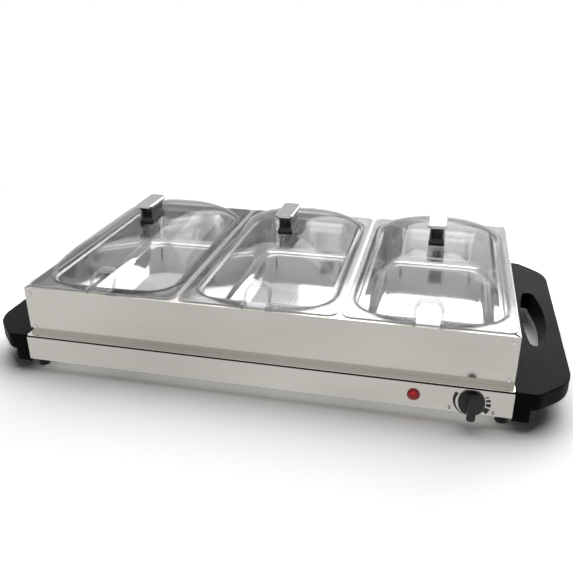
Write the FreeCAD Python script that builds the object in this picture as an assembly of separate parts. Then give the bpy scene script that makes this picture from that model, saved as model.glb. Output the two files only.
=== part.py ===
import FreeCAD, Part
import math
import os

from FreeCAD import Vector

# Electric food warmer tray: a heated base with a handle at each end, a frame that stands on it,
# and three lift-out pans under clear domed lids. Millimetres.
# X runs along the tray, Y from its front to its back and Z up from the surface it stands on.

# Base
base_side_step = 1.0
ledge_width = 10.0
base_panel_height = 30.6
base_sheet = 0.8
base_flange = 18.0
base_bend = 1.2
cover_sheet = 0.8
cover_play = 0.7
gasket_thickness = 1.2
gasket_inset = 2.0
gasket_band = 10.0
plate_sheet = 1.0
plate_corner = 3.0

# Feet
foot_height = 12.0
foot_top_radius = 8.0
foot_tip_radius = 6.8
foot_in_from_end = 9.0
foot_in_from_front = 14.0
foot_screw_radius = 1.75
foot_screw_head_radius = 3.3
foot_screw_recess = 4.0
screw_head_height = 2.0
screw_end_rise = 4.0
cover_screw_radius = 1.5
cover_screw_head_radius = 3.0
cover_screw_head_height = 1.6
cover_screw_reach = 185.0
hole_play = 0.2

# Cooling slots in the bottom cover
slot_length = 26.0
slot_width = 3.0
slot_count = 15
slot_pitch = 30.0
slot_row_inset = 66.0

# Handles
handle_reach = 59.3
handle_overhang = 0.6
wing_thickness = 22.7
wing_corner_start = 17.5
wing_small_radius = 15.0
wing_large_radius = 49.0
wing_top_round = 1.5
wing_bottom_round = 6.0
handle_wall = 3.0
cap_thickness = 18.0
cap_drop = 4.0
cap_round = 3.0
cap_bevel = 2.5
handle_boss_radius = 4.5
handle_screw_radius = 1.75
handle_screw_head_radius = 3.6
handle_screw_depth = 12.0
handle_screw_spread = 120.0

# Finger hole in each handle: two long arcs closed by two short ones
finger_in = 17.0
finger_out = 45.0
finger_half_length = 74.0
finger_end_in = 22.0
finger_end_out = 37.4
finger_shoulder = 66.0
finger_draft = 6.0

# Heater under the hot plate
spreader_sheet = 1.5
spreader_end_gap = 50.0
spreader_side_gap = 41.0
element_radius = 3.25
element_run_gap = 70.0
element_run_count = 4
element_end_gap = 43.0
element_turn_gap = 56.0
terminal_bush_radius = 4.5
terminal_bush_length = 12.0
terminal_pin_radius = 1.2
terminal_pin_length = 8.0
clamp_sheet = 1.2
clamp_width = 12.0
clamp_end_gap = 58.0
clamp_spacing = 150.0
clamp_count = 3
stud_radius = 2.0
nut_across_flats = 7.0
nut_height = 3.2
stud_end = 1.5
insulation_thickness = 9.0
insulation_left_gap = 31.0
insulation_right_gap = 101.0
insulation_side_gap = 36.0
cutoff_from_end = 66.0
cutoff_y = 70.0
cutoff_radius = 2.5
cutoff_length = 14.0
cutoff_lead_radius = 0.6
cutoff_lead_length = 7.0
cutoff_clip_sheet = 0.6
cutoff_clip_width = 5.0
cutoff_clip_ear = 5.0

# Thermostat and its knob
knob_from_end = 42.4
knob_rise = 14.5
knob_gap = 0.6
knob_reach = 18.0
knob_radius = 14.1
knob_face_radius = 13.1
knob_disc_height = 5.5
knob_grip_half_width = 5.4
knob_grip_half_length = 13.6
knob_grip_taper = 0.8
knob_grip_round = 4.4
knob_edge_round = 1.0
shaft_radius = 3.0
shaft_flat = 2.2
shaft_running_gap = 0.05
shaft_end_gap = 0.3
shaft_depth = 14.0
shaft_cover = 3.0
bush_radius = 4.0
bush_reach = 4.4
bush_play = 0.15
thermostat_half_width = 12.0
thermostat_half_height = 10.5
thermostat_depth = 22.0
thermostat_tab_length = 4.0
thermostat_tab_half_width = 3.2
thermostat_tab_sheet = 0.8
thermostat_tab_spread = 6.0
bush_nut_across_flats = 11.0
bush_nut_height = 2.5
bush_nut_room = 0.8

# Indicator lamp
lamp_from_end = 102.5
lamp_rise = 15.9
lens_radius = 6.85
lens_rim = 1.2
lens_dome = 2.6
lens_tail_radius = 5.25
lens_tail_length = 9.0
lens_bore_radius = 4.0
holder_radius = 6.6
holder_length = 17.0
holder_back = 2.0
neon_radius = 2.4
neon_length = 9.0
neon_lead_radius = 0.4
neon_lead_spread = 1.2

# Mains entry at the back
gland_from_end = 81.0
gland_rise = 15.0
gland_bore_radius = 4.0
gland_neck_radius = 6.2
gland_flange_radius = 9.0
gland_reach = 3.0
gland_inner_flange = 2.0
block_from_end = 76.0
block_in_from_back = 46.0
block_half_width = 18.0
block_half_depth = 8.0
block_height = 16.0
block_screw_radius = 2.0
block_screw_depth = 6.0
block_screw_pitch = 11.0

# Wires inside the base
wire_radius = 1.2
wire_bend = 5.0
wire_wide_bend = 12.0
wire_run_out = 14.0
wire_side_step = 6.0
wire_rear_turn = 30.0
wire_front_turn = 60.0
wire_lamp_turn = 90.0
wire_cutoff_turn = 20.0

# Frame that carries the pans
frame_end_margin = 1.0
frame_side_margin = 4.0
frame_height = 58.3
frame_sheet = 0.8
frame_foot_flange = 8.0
frame_foot_corner_gap = 10.0
frame_corner_gap = 2.0
frame_joint_flange = 12.0
frame_joint_end_gap = 3.0
crossbar_height = 13.0
crossbar_end_gap = 0.2
rivet_in_from_end = 6.0
rivet_below_top = 7.7
rivet_above_bottom = 7.2
rivet_radius = 1.6
rivet_head_radius = 2.8
rivet_head_height = 1.1
rivet_tail_radius = 2.4
rivet_tail_height = 1.0

# Pans
pan_sheet = 0.9
pan_rim_side = 10.0
pan_rim_front = 12.6
pan_corner = 36.0
pan_step_drop = 4.0
pan_step_width = 4.0
pan_step_draft = 0.8
pan_wall_draft = 5.0
pan_floor_round = 12.0
pan_air_gap = 2.3
pan_frame_clearance = 1.0

# Lids
lid_width = 184.0
lid_depth = 330.0
lid_gap = 3.0
lid_corner = 12.0
lid_flange_sheet = 1.2
lid_skirt_sheet = 1.2
lid_skirt_gap = 0.3
lid_rim_clearance = 0.5
dome_side_inset = 7.0
dome_front_inset = 14.0
dome_height = 33.5
dome_wall = 2.0
dome_corner = 38.0
dome_side_fullness = 1.33
dome_end_fullness = 2.22
dome_rings = 6
crown_half_width = 22.0
crown_half_depth = 31.0
crown_roundness = 0.96
notch_half_width = 12.5
notch_height = 14.3
notch_round = 7.0
notch_bead = 3.4
notch_bead_rise = 1.6
notch_reach = 48.0

# Lid grips
grip_half_width = 9.6
grip_half_length = 23.0
grip_round = 4.5
grip_waist = 1.9
grip_height = 22.6
grip_groove_depth = 0.8
grip_groove_height = 1.2
grip_groove_count = 3
grip_groove_pitch = 3.6
grip_groove_start = 8.0
plate_half_width = 11.2
plate_half_length = 26.5
plate_round = 5.5
plate_height = 3.4
plate_bevel = 1.3
grip_screw_radius = 2.0
grip_screw_length = 14.0
grip_screw_head_radius = 4.0
grip_screw_head_height = 2.4

# Heights that follow from the sizes above
base_bottom = foot_height
base_top = base_bottom + base_panel_height
ledge_top = base_top + gasket_thickness + plate_sheet
plate_underside = ledge_top - plate_sheet
cover_top = base_bottom + base_sheet + cover_sheet
spreader_underside = plate_underside - spreader_sheet
element_z = spreader_underside - element_radius
clamp_top = element_z - element_radius
frame_top = ledge_top + frame_height
pan_rim_top = frame_top + pan_sheet
lid_flange_top = pan_rim_top + lid_flange_sheet
crown_top = lid_flange_top + dome_height
knob_z = base_bottom + knob_rise
lamp_z = base_bottom + lamp_rise
gland_z = base_bottom + gland_rise
wing_bottom = ledge_top - wing_thickness
cap_bottom = base_bottom - cap_drop
pan_underside = ledge_top + pan_air_gap

# Places in plan: the base is set back so that the knob and the gland share the overhang
base_y = (knob_reach - gland_reach) / 2
pan_pitch = lid_width + lid_gap
frame_half = pan_pitch + lid_width / 2 + frame_end_margin
frame_depth = lid_depth + 2 * frame_side_margin
base_half = frame_half + base_side_step
base_depth = frame_depth + 2 * ledge_width
front_y = base_y - base_depth / 2
rear_y = base_y + base_depth / 2
frame_front_y = base_y - frame_depth / 2
frame_rear_y = base_y + frame_depth / 2
pan_half_width = lid_width / 2 - lid_skirt_sheet - lid_rim_clearance
pan_half_depth = lid_depth / 2 - lid_skirt_sheet - lid_rim_clearance
pan_rim_corner = lid_corner - lid_skirt_sheet - lid_rim_clearance
bowl_half_width = pan_half_width - pan_rim_side
bowl_half_depth = pan_half_depth - pan_rim_front
frame_front_flange = frame_depth / 2 - bowl_half_depth - pan_frame_clearance
frame_side_flange = frame_half - pan_pitch - bowl_half_width - pan_frame_clearance
crossbar_width = pan_pitch - 2 * bowl_half_width - 2 * pan_frame_clearance
handle_half_depth = base_depth / 2 + handle_overhang
handle_screw_z = (cap_bottom + ledge_top) / 2
dome_half_width = lid_width / 2 - dome_side_inset
dome_half_depth = lid_depth / 2 - dome_front_inset
lid_front_y = base_y - lid_depth / 2
knob_x = base_half - knob_from_end
lamp_x = base_half - lamp_from_end
gland_x = base_half - gland_from_end
block_x = base_half - block_from_end
cutoff_x = base_half - cutoff_from_end
spreader_half_width = base_half - spreader_end_gap
spreader_half_depth = base_depth / 2 - spreader_side_gap
element_right_end = base_half - element_end_gap
element_turn_reach = base_half - element_turn_gap
clamp_half_length = base_depth / 2 - clamp_end_gap
insulation_left = base_half - insulation_left_gap
insulation_right = base_half - insulation_right_gap
insulation_half_depth = base_depth / 2 - insulation_side_gap
slot_row_reach = base_depth / 2 - slot_row_inset

pan_places = {"left": -pan_pitch, "middle": 0.0, "right": pan_pitch}


def block(low, high):
    """A rectangular block between its lowest and highest corners."""
    size = high - low
    return Part.makeBox(size.x, size.y, size.z, low)


def prism(points, height):
    """A flat polygon raised along Z by a height."""
    return Part.Face(Part.makePolygon(points + points[:1])).extrude(Vector(0, 0, height))


def rounded_outline(x, y, z, half_width, half_depth, radius):
    """A level rounded rectangle, drawn anticlockwise as four arcs and the lines between them."""
    edges = []
    first = None
    last = None
    for quarter, (side_x, side_y) in enumerate(((1, 1), (-1, 1), (-1, -1), (1, -1))):
        centre = Vector(x + side_x * (half_width - radius), y + side_y * (half_depth - radius), z)
        points = []
        for eighth in range(3):
            angle = math.pi / 2 * quarter + math.pi / 4 * eighth
            points.append(centre + Vector(radius * math.cos(angle), radius * math.sin(angle), 0))
        if last is None:
            first = points[0]
        else:
            edges.append(Part.makeLine(last, points[0]))
        edges.append(Part.Arc(*points).toShape())
        last = points[2]
    edges.append(Part.makeLine(last, first))
    return Part.Wire(edges)


def rounded_plate(x, y, z_low, z_high, half_width, half_depth, radius):
    """A level plate with rounded corners."""
    outline = rounded_outline(x, y, z_low, half_width, half_depth, radius)
    return Part.Face(outline).extrude(Vector(0, 0, z_high - z_low))


def loft(outlines, ruled=True):
    """A solid through outlines that have the same number of edges."""
    return Part.makeLoft(outlines, True, ruled)


def joined(shapes):
    """Several overlapping or touching shapes as one solid."""
    return shapes[0].multiFuse(shapes[1:]).removeSplitter()


def rod(start, direction, radius, length):
    """A round bar."""
    return Part.makeCylinder(radius, length, start, direction)


def hex_nut(across_flats, height, bore_radius):
    """A hexagon nut that stands on the origin, its axis along Z."""
    reach = across_flats / math.sqrt(3)
    corners = []
    for corner in range(6):
        angle = math.pi / 3 * corner
        corners.append(Vector(reach * math.cos(angle), reach * math.sin(angle), 0))
    return prism(corners, height).cut(Part.makeCylinder(bore_radius, height))


def round_edges(shape, radius, wanted):
    """Fillets the edges whose middle point passes a test."""
    edges = [edge for edge in shape.Edges if wanted(edge.CenterOfMass)]
    return shape.makeFillet(radius, edges)


def moved(shape, offset):
    """A copy of a shape, shifted."""
    copy = shape.copy()
    copy.translate(offset)
    return copy


def facing_front(shape, x, z):
    """Turns a shape modelled along +Z so that it points out of the front panel's outer face."""
    copy = shape.copy()
    copy.rotate(Vector(0, 0, 0), Vector(1, 0, 0), 90)
    copy.translate(Vector(x, front_y, z))
    return copy


def facing_rear(shape, x, z):
    """Turns a shape modelled along +Z so that it points out of the rear panel's outer face."""
    copy = shape.copy()
    copy.rotate(Vector(0, 0, 0), Vector(1, 0, 0), -90)
    copy.translate(Vector(x, rear_y, z))
    return copy


def across_base(shape):
    """The same shape at the other end of the tray."""
    return shape.mirror(Vector(0, 0, 0), Vector(1, 0, 0))


def front_to_back(shape):
    """The same shape at the other long side of the base."""
    return shape.mirror(Vector(0, base_y, 0), Vector(0, 1, 0))


def save(name, shape):
    """Writes one sub-part, or a group of like pieces, under its name."""
    if isinstance(shape, list):
        shape = Part.makeCompound(shape)
    shape.exportStep("parts/" + name + ".step")


def foot_places():
    """The four points where a foot's axis meets the base's underside."""
    places = []
    for side_x in (-1, 1):
        for side_y in (-1, 1):
            x = side_x * (base_half - foot_in_from_end)
            y = base_y + side_y * (base_depth / 2 - foot_in_from_front)
            places.append(Vector(x, y, base_bottom))
    return places


def cover_screw_places():
    """The six points where a bottom cover screw meets the base's underside."""
    places = []
    for side_x in (-1, 0, 1):
        for side_y in (-1, 1):
            y = base_y + side_y * (base_depth - base_flange) / 2
            places.append(Vector(side_x * cover_screw_reach, y, base_bottom))
    return places


def underside_holes():
    """The screw holes that go up through the base's flanges and bottom cover."""
    up = Vector(0, 0, 1)
    depth = base_sheet + cover_sheet
    holes = [rod(place, up, foot_screw_radius + hole_play, depth) for place in foot_places()]
    for place in cover_screw_places():
        holes.append(rod(place, up, cover_screw_radius + hole_play, depth))
    return holes


def base_channel():
    """The long front channel of the base: a panel with a flange turned in at its top and foot."""
    web = block(Vector(-base_half, front_y, base_bottom), Vector(base_half, front_y + base_sheet, base_top))
    flange_back = front_y + base_flange
    foot = block(Vector(-base_half, front_y, base_bottom),
                 Vector(base_half, flange_back, base_bottom + base_sheet))
    head = moved(foot, Vector(0, 0, base_panel_height - base_sheet))
    channel = joined([web, foot, head])
    return round_edges(channel, base_bend, lambda p: abs(p.y - front_y) < 0.01 and abs(p.x) < 0.01)


def base_front_panel():
    """The front channel, with the holes for the thermostat's bush and the lamp."""
    bush_hole = Part.makeCylinder(bush_radius + bush_play, base_bend * 2, Vector(0, 0, -base_bend))
    lamp_hole = Part.makeCylinder(lens_tail_radius + hole_play, base_bend * 2, Vector(0, 0, -base_bend))
    cuts = [facing_front(bush_hole, knob_x, knob_z), facing_front(lamp_hole, lamp_x, lamp_z)]
    return base_channel().cut(cuts + underside_holes())


def base_rear_panel():
    """The rear channel, with the hole for the mains gland."""
    gland_hole = Part.makeCylinder(gland_neck_radius, base_bend * 2, Vector(0, 0, -base_bend))
    cuts = [facing_rear(gland_hole, gland_x, gland_z)] + underside_holes()
    return front_to_back(base_channel()).cut(cuts)


def handle_screw_rows():
    """The Y places of the screws that hold a handle."""
    return [base_y + step * handle_screw_spread for step in (-1, 0, 1)]


def base_end_plate():
    """The right end of the base: a channel that stands between the two long ones."""
    inner_x = base_half - base_sheet
    web = block(Vector(inner_x, front_y + base_sheet, base_bottom + base_sheet),
                Vector(base_half, rear_y - base_sheet, base_top - base_sheet))
    foot = block(Vector(base_half - base_flange, front_y + base_flange, base_bottom),
                 Vector(base_half, rear_y - base_flange, base_bottom + base_sheet))
    head = moved(foot, Vector(0, 0, base_panel_height - base_sheet))
    plate = joined([web, foot, head])
    radius = handle_screw_radius + hole_play
    holes = [rod(Vector(inner_x, y, handle_screw_z), Vector(1, 0, 0), radius, base_sheet)
             for y in handle_screw_rows()]
    return plate.cut(holes)


def bottom_cover():
    """The flat cover that lies on the lower flanges, with two rows of cooling slots."""
    inset = base_sheet + cover_play
    z_low = base_bottom + base_sheet
    cover = block(Vector(-base_half + inset, front_y + inset, z_low),
                  Vector(base_half - inset, rear_y - inset, cover_top))
    slots = []
    for row in (-1, 1):
        for place in range(slot_count):
            x = (place - (slot_count - 1) / 2) * slot_pitch
            y = base_y + row * slot_row_reach
            slots.append(rounded_plate(x, y, z_low, cover_top, slot_width / 2, slot_length / 2,
                                       slot_width / 2 * 0.98))
    return cover.cut(slots + underside_holes())


def rubber_feet():
    """Four tapered feet, each with a recess for its screw."""
    feet = []
    for place in foot_places():
        down = Vector(0, 0, -1)
        foot = Part.makeCone(foot_top_radius, foot_tip_radius, foot_height, place, down)
        shank = rod(place, down, foot_screw_radius, foot_height)
        recess_top = place + Vector(0, 0, foot_screw_recess - foot_height)
        recess = rod(recess_top, down, foot_screw_head_radius + hole_play, foot_screw_recess)
        feet.append(foot.cut([shank, recess]))
    return feet


def foot_screws():
    """The screws that pull the feet up against the base."""
    screws = []
    for place in foot_places():
        head_seat = place + Vector(0, 0, foot_screw_recess - foot_height)
        head = rod(head_seat, Vector(0, 0, -1), foot_screw_head_radius, screw_head_height)
        top = cover_top + screw_end_rise
        shank = rod(head_seat, Vector(0, 0, 1), foot_screw_radius, top - head_seat.z)
        screws.append(joined([head, shank]))
    return screws


def cover_screws():
    """The screws that hold the bottom cover on the lower flanges."""
    screws = []
    for place in cover_screw_places():
        head = rod(place, Vector(0, 0, -1), cover_screw_head_radius, cover_screw_head_height)
        length = cover_top + screw_end_rise - base_bottom
        shank = rod(place, Vector(0, 0, 1), cover_screw_radius, length)
        screws.append(joined([head, shank]))
    return screws


def plate_gasket():
    """The dark heat-proof band that lies between the base and the hot plate."""
    half_width = base_half - gasket_inset
    half_depth = base_depth / 2 - gasket_inset
    outer = rounded_plate(0, base_y, base_top, plate_underside, half_width, half_depth, plate_corner)
    inner = rounded_plate(0, base_y, base_top, plate_underside, half_width - gasket_band,
                          half_depth - gasket_band, plate_corner)
    return outer.cut(inner)


def hot_plate():
    """The steel top of the base. Its edge is the ledge in front of the pan frame."""
    plate = rounded_plate(0, base_y, plate_underside, ledge_top, base_half, base_depth / 2, plate_corner)
    return round_edges(plate, plate_sheet * 0.4, lambda p: p.z > ledge_top - 0.01)


def clamp_places():
    """The X places of the bars that hold the element up."""
    return [(place - (clamp_count - 1) / 2) * clamp_spacing for place in range(clamp_count)]


def stud_places():
    """The points on the hot plate's underside where the welded studs stand."""
    places = []
    for x in clamp_places():
        for side in (-1, 1):
            places.append(Vector(x, base_y + side * element_run_gap, plate_underside))
    return places


def heat_spreader():
    """The aluminium sheet that carries the element's heat to the hot plate."""
    sheet = block(Vector(-spreader_half_width, base_y - spreader_half_depth, spreader_underside),
                  Vector(spreader_half_width, base_y + spreader_half_depth, plate_underside))
    down = Vector(0, 0, -1)
    holes = [rod(place, down, stud_radius + hole_play, spreader_sheet) for place in stud_places()]
    return sheet.cut(holes)


def element_rows():
    """The Y places of the element's long runs, front to back."""
    middle = (element_run_count - 1) / 2
    return [base_y + (row - middle) * element_run_gap for row in range(element_run_count)]


def heating_element():
    """One sheathed heater tube, bent to and fro in long runs with round turns."""
    rows = element_rows()
    radius = element_run_gap / 2
    turn_x = element_turn_reach - radius
    edges = []
    point = Vector(element_right_end, rows[0], element_z)
    for index, y in enumerate(rows):
        side = -1 if index % 2 == 0 else 1
        end_x = element_right_end if index == len(rows) - 1 else side * turn_x
        end = Vector(end_x, y, element_z)
        edges.append(Part.makeLine(point, end))
        point = end
        if index < len(rows) - 1:
            middle = Vector(side * (turn_x + radius), y + radius, element_z)
            after = Vector(side * turn_x, y + element_run_gap, element_z)
            edges.append(Part.Arc(end, middle, after).toShape())
            point = after
    start = Vector(element_right_end, rows[0], element_z)
    profile = Part.Wire([Part.makeCircle(element_radius, start, Vector(1, 0, 0))])
    return Part.Wire(edges).makePipeShell([profile], True, False)


def element_terminals():
    """A ceramic bush and a pin on each end of the element."""
    terminals = []
    right = Vector(1, 0, 0)
    for y in (element_rows()[0], element_rows()[-1]):
        end = Vector(element_right_end, y, element_z)
        lap = terminal_bush_length / 2
        bush = rod(end - right * lap, right, terminal_bush_radius, terminal_bush_length)
        bush = bush.cut(rod(end - right * lap, right, element_radius, lap))
        pin = rod(end + right * lap, right, terminal_pin_radius, terminal_pin_length)
        terminals.append(joined([bush, pin]))
    return terminals


def clamp_bars():
    """Flat bars under the element's runs, drilled for the studs."""
    bars = []
    for x in clamp_places():
        bar = block(Vector(x - clamp_width / 2, base_y - clamp_half_length, clamp_top - clamp_sheet),
                    Vector(x + clamp_width / 2, base_y + clamp_half_length, clamp_top))
        holes = []
        for place in stud_places():
            top = Vector(place.x, place.y, clamp_top)
            holes.append(rod(top, Vector(0, 0, -1), stud_radius + hole_play, clamp_sheet))
        bars.append(bar.cut(holes))
    return bars


def clamp_studs():
    """The studs welded under the hot plate."""
    length = plate_underside - (clamp_top - clamp_sheet - nut_height - stud_end)
    return [rod(place, Vector(0, 0, -1), stud_radius, length) for place in stud_places()]


def clamp_nuts():
    """The nuts that draw the clamp bars up."""
    nut = hex_nut(nut_across_flats, nut_height, stud_radius)
    z = clamp_top - clamp_sheet - nut_height
    return [moved(nut, Vector(place.x, place.y, z)) for place in stud_places()]


def insulation_pad():
    """The mineral wool board on the bottom cover. It keeps the underside cool."""
    return block(Vector(-insulation_left, base_y - insulation_half_depth, cover_top),
                 Vector(insulation_right, base_y + insulation_half_depth,
                        cover_top + insulation_thickness))


def cutoff_place():
    """The middle of the thermal cut-off, against the heat spreader."""
    return Vector(cutoff_x, base_y + cutoff_y, spreader_underside - cutoff_radius)


def thermal_cutoff():
    """The one-shot cut-off with its two leads."""
    middle = cutoff_place()
    right = Vector(1, 0, 0)
    body = rod(middle - right * (cutoff_length / 2), right, cutoff_radius, cutoff_length)
    length = cutoff_length + 2 * cutoff_lead_length
    leads = rod(middle - right * (length / 2), right, cutoff_lead_radius, length)
    return joined([body, leads])


def cutoff_clip():
    """The strap that presses the cut-off against the spreader."""
    middle = cutoff_place()
    reach = cutoff_radius + cutoff_clip_sheet
    start = middle - Vector(cutoff_clip_width / 2, 0, 0)
    right = Vector(1, 0, 0)
    ring = rod(start, right, reach, cutoff_clip_width)
    legs = block(start + Vector(0, -reach, 0), start + Vector(cutoff_clip_width, reach, cutoff_radius))
    ears = block(start + Vector(0, -reach - cutoff_clip_ear, cutoff_radius - cutoff_clip_sheet),
                 start + Vector(cutoff_clip_width, reach + cutoff_clip_ear, cutoff_radius))
    hollow = rod(start, right, cutoff_radius, cutoff_clip_width)
    mouth = block(start + Vector(0, -cutoff_radius, 0),
                  start + Vector(cutoff_clip_width, cutoff_radius, cutoff_radius))
    above = block(start + Vector(0, -reach, cutoff_radius),
                  start + Vector(cutoff_clip_width, reach, reach))
    return joined([ring, legs, ears]).cut([hollow, mouth, above])


def shaft_bar():
    """The knob's shaft with its flat, modelled along Z from the panel's outer face."""
    z_low = shaft_end_gap - base_sheet - shaft_depth
    z_high = knob_reach - shaft_cover
    bar = Part.makeCylinder(shaft_radius, z_high - z_low, Vector(0, 0, z_low))
    flat = block(Vector(-shaft_radius, shaft_flat, bush_reach + shaft_end_gap),
                 Vector(shaft_radius, shaft_radius, z_high))
    return bar.cut(flat)


def thermostat_shaft():
    """The shaft that the knob turns in the thermostat."""
    return facing_front(shaft_bar(), knob_x, knob_z)


def thermostat():
    """The thermostat's case, its threaded bush and its two tabs, bored for the shaft."""
    back = -base_sheet - thermostat_depth
    case = block(Vector(-thermostat_half_width, -thermostat_half_height, back),
                 Vector(thermostat_half_width, thermostat_half_height, -base_sheet))
    bush = Part.makeCylinder(bush_radius, base_sheet + bush_reach, Vector(0, 0, -base_sheet))
    pieces = [case, bush]
    for side in (-1, 1):
        x = side * thermostat_tab_spread
        pieces.append(block(Vector(x - thermostat_tab_half_width, 0, back - thermostat_tab_length),
                            Vector(x + thermostat_tab_half_width, thermostat_tab_sheet, back)))
    bore = Part.makeCylinder(shaft_radius + shaft_running_gap, shaft_depth + base_sheet + bush_reach,
                             Vector(0, 0, -base_sheet - shaft_depth))
    return facing_front(joined(pieces).cut(bore), knob_x, knob_z)


def thermostat_nut():
    """The thin nut on the bush, hidden in the back of the knob."""
    nut = hex_nut(bush_nut_across_flats, bush_nut_height, bush_radius)
    return facing_front(nut, knob_x, knob_z)


def control_knob():
    """The knob: a flared disc with a tall grip bar across it, hollow behind for the nut."""
    disc = Part.makeCone(knob_radius, knob_face_radius, knob_disc_height, Vector(0, 0, knob_gap))
    disc = round_edges(disc, knob_edge_round, lambda p: p.z > knob_gap + knob_disc_height - 0.01)
    bar_foot = knob_gap + knob_disc_height / 2
    bar = loft([
        rounded_outline(0, 0, bar_foot, knob_grip_half_width, knob_grip_half_length, knob_grip_round),
        rounded_outline(0, 0, knob_reach, knob_grip_half_width - knob_grip_taper,
                        knob_grip_half_length - knob_grip_taper, knob_grip_round - knob_grip_taper)])
    bar = round_edges(bar, knob_edge_round, lambda p: p.z > knob_reach - 0.01)
    knob = joined([disc, bar])
    recess_radius = bush_nut_across_flats / math.sqrt(3) + bush_nut_room
    recess = Part.makeCylinder(recess_radius, bush_nut_height + bush_nut_room)
    bush_room = Part.makeCylinder(bush_radius + bush_nut_room, bush_reach + shaft_end_gap)
    knob = knob.cut([recess, bush_room, shaft_bar()])
    return facing_front(knob, knob_x, knob_z)


def indicator_lens():
    """The red lens: a shallow dome with a rim outside the panel and a hollow tail inside."""
    rim = Part.makeCylinder(lens_radius, lens_rim)
    ball_radius = (lens_radius ** 2 + lens_dome ** 2) / (2 * lens_dome)
    ball = Part.makeSphere(ball_radius, Vector(0, 0, lens_rim + lens_dome - ball_radius))
    dome = ball.common(Part.makeCylinder(lens_radius, lens_dome, Vector(0, 0, lens_rim)))
    tail_end = -base_sheet - lens_tail_length
    tail = Part.makeCylinder(lens_tail_radius, -tail_end, Vector(0, 0, tail_end))
    bore = Part.makeCylinder(lens_bore_radius, lens_rim - tail_end, Vector(0, 0, tail_end))
    return facing_front(joined([rim, dome, tail]).cut(bore), lamp_x, lamp_z)


def indicator_holder():
    """The cap that is pushed on the lens's tail from behind and carries the neon lamp."""
    back = -base_sheet - holder_length
    body = Part.makeCylinder(holder_radius, holder_length, Vector(0, 0, back))
    socket = Part.makeCylinder(lens_tail_radius, holder_length - holder_back,
                               Vector(0, 0, back + holder_back))
    leads = [neon_lead(side) for side in (-1, 1)]
    return facing_front(body.cut([socket] + leads), lamp_x, lamp_z)


def neon_lead(side):
    """One lead of the neon lamp, through the back of its holder."""
    back = -base_sheet - holder_length
    length = holder_length - lens_tail_length
    return Part.makeCylinder(neon_lead_radius, length, Vector(side * neon_lead_spread, 0, back))


def neon_lamp():
    """The small neon lamp inside the lens."""
    foot = -base_sheet - lens_tail_length
    glass = Part.makeCylinder(neon_radius, neon_length, Vector(0, 0, foot))
    glass = round_edges(glass, neon_radius * 0.8, lambda p: p.z > foot + neon_length - 0.01)
    return facing_front(joined([glass, neon_lead(-1), neon_lead(1)]), lamp_x, lamp_z)


def mains_gland():
    """The bushed hole where the mains lead enters through the rear panel."""
    neck_length = base_sheet + gland_inner_flange + gland_reach
    neck_foot = -base_sheet - gland_inner_flange
    flange = Part.makeCylinder(gland_flange_radius, gland_reach)
    flange = round_edges(flange, gland_reach / 3, lambda p: p.z > gland_reach - 0.01)
    neck = Part.makeCylinder(gland_neck_radius, neck_length, Vector(0, 0, neck_foot))
    lip = Part.makeCone(gland_neck_radius, gland_flange_radius * 0.85, gland_inner_flange,
                        Vector(0, 0, neck_foot))
    bore = Part.makeCylinder(gland_bore_radius, neck_length, Vector(0, 0, neck_foot))
    return facing_rear(joined([flange, neck, lip]).cut(bore), gland_x, gland_z)


def terminal_block():
    """The three-way mains block on the bottom cover, with its clamp screws' wells."""
    y = rear_y - block_in_from_back
    body = block(Vector(block_x - block_half_width, y - block_half_depth, cover_top),
                 Vector(block_x + block_half_width, y + block_half_depth, cover_top + block_height))
    wells = []
    for way in (-1, 0, 1):
        top = Vector(block_x + way * block_screw_pitch, y, cover_top + block_height)
        wells.append(rod(top, Vector(0, 0, -1), block_screw_radius, block_screw_depth))
    return body.cut(wells)


def wire(points, bend_radius):
    """A round wire along straight runs joined by tangent arcs."""
    edges = []
    last = points[0]
    for before, corner, after in zip(points, points[1:], points[2:]):
        arriving = (corner - before).normalize()
        leaving = (after - corner).normalize()
        turn = math.acos(max(-1.0, min(1.0, arriving.dot(leaving))))
        reach = bend_radius * math.tan(turn / 2)
        start = corner - arriving * reach
        end = corner + leaving * reach
        inward = (leaving - arriving).normalize()
        middle = corner + inward * (bend_radius / math.cos(turn / 2) - bend_radius)
        edges.append(Part.makeLine(last, start))
        edges.append(Part.Arc(start, middle, end).toShape())
        last = end
    edges.append(Part.makeLine(last, points[-1]))
    direction = points[1] - points[0]
    profile = Part.Wire([Part.makeCircle(wire_radius, points[0], direction)])
    return Part.Wire(edges).makePipeShell([profile], True, False)


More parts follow.
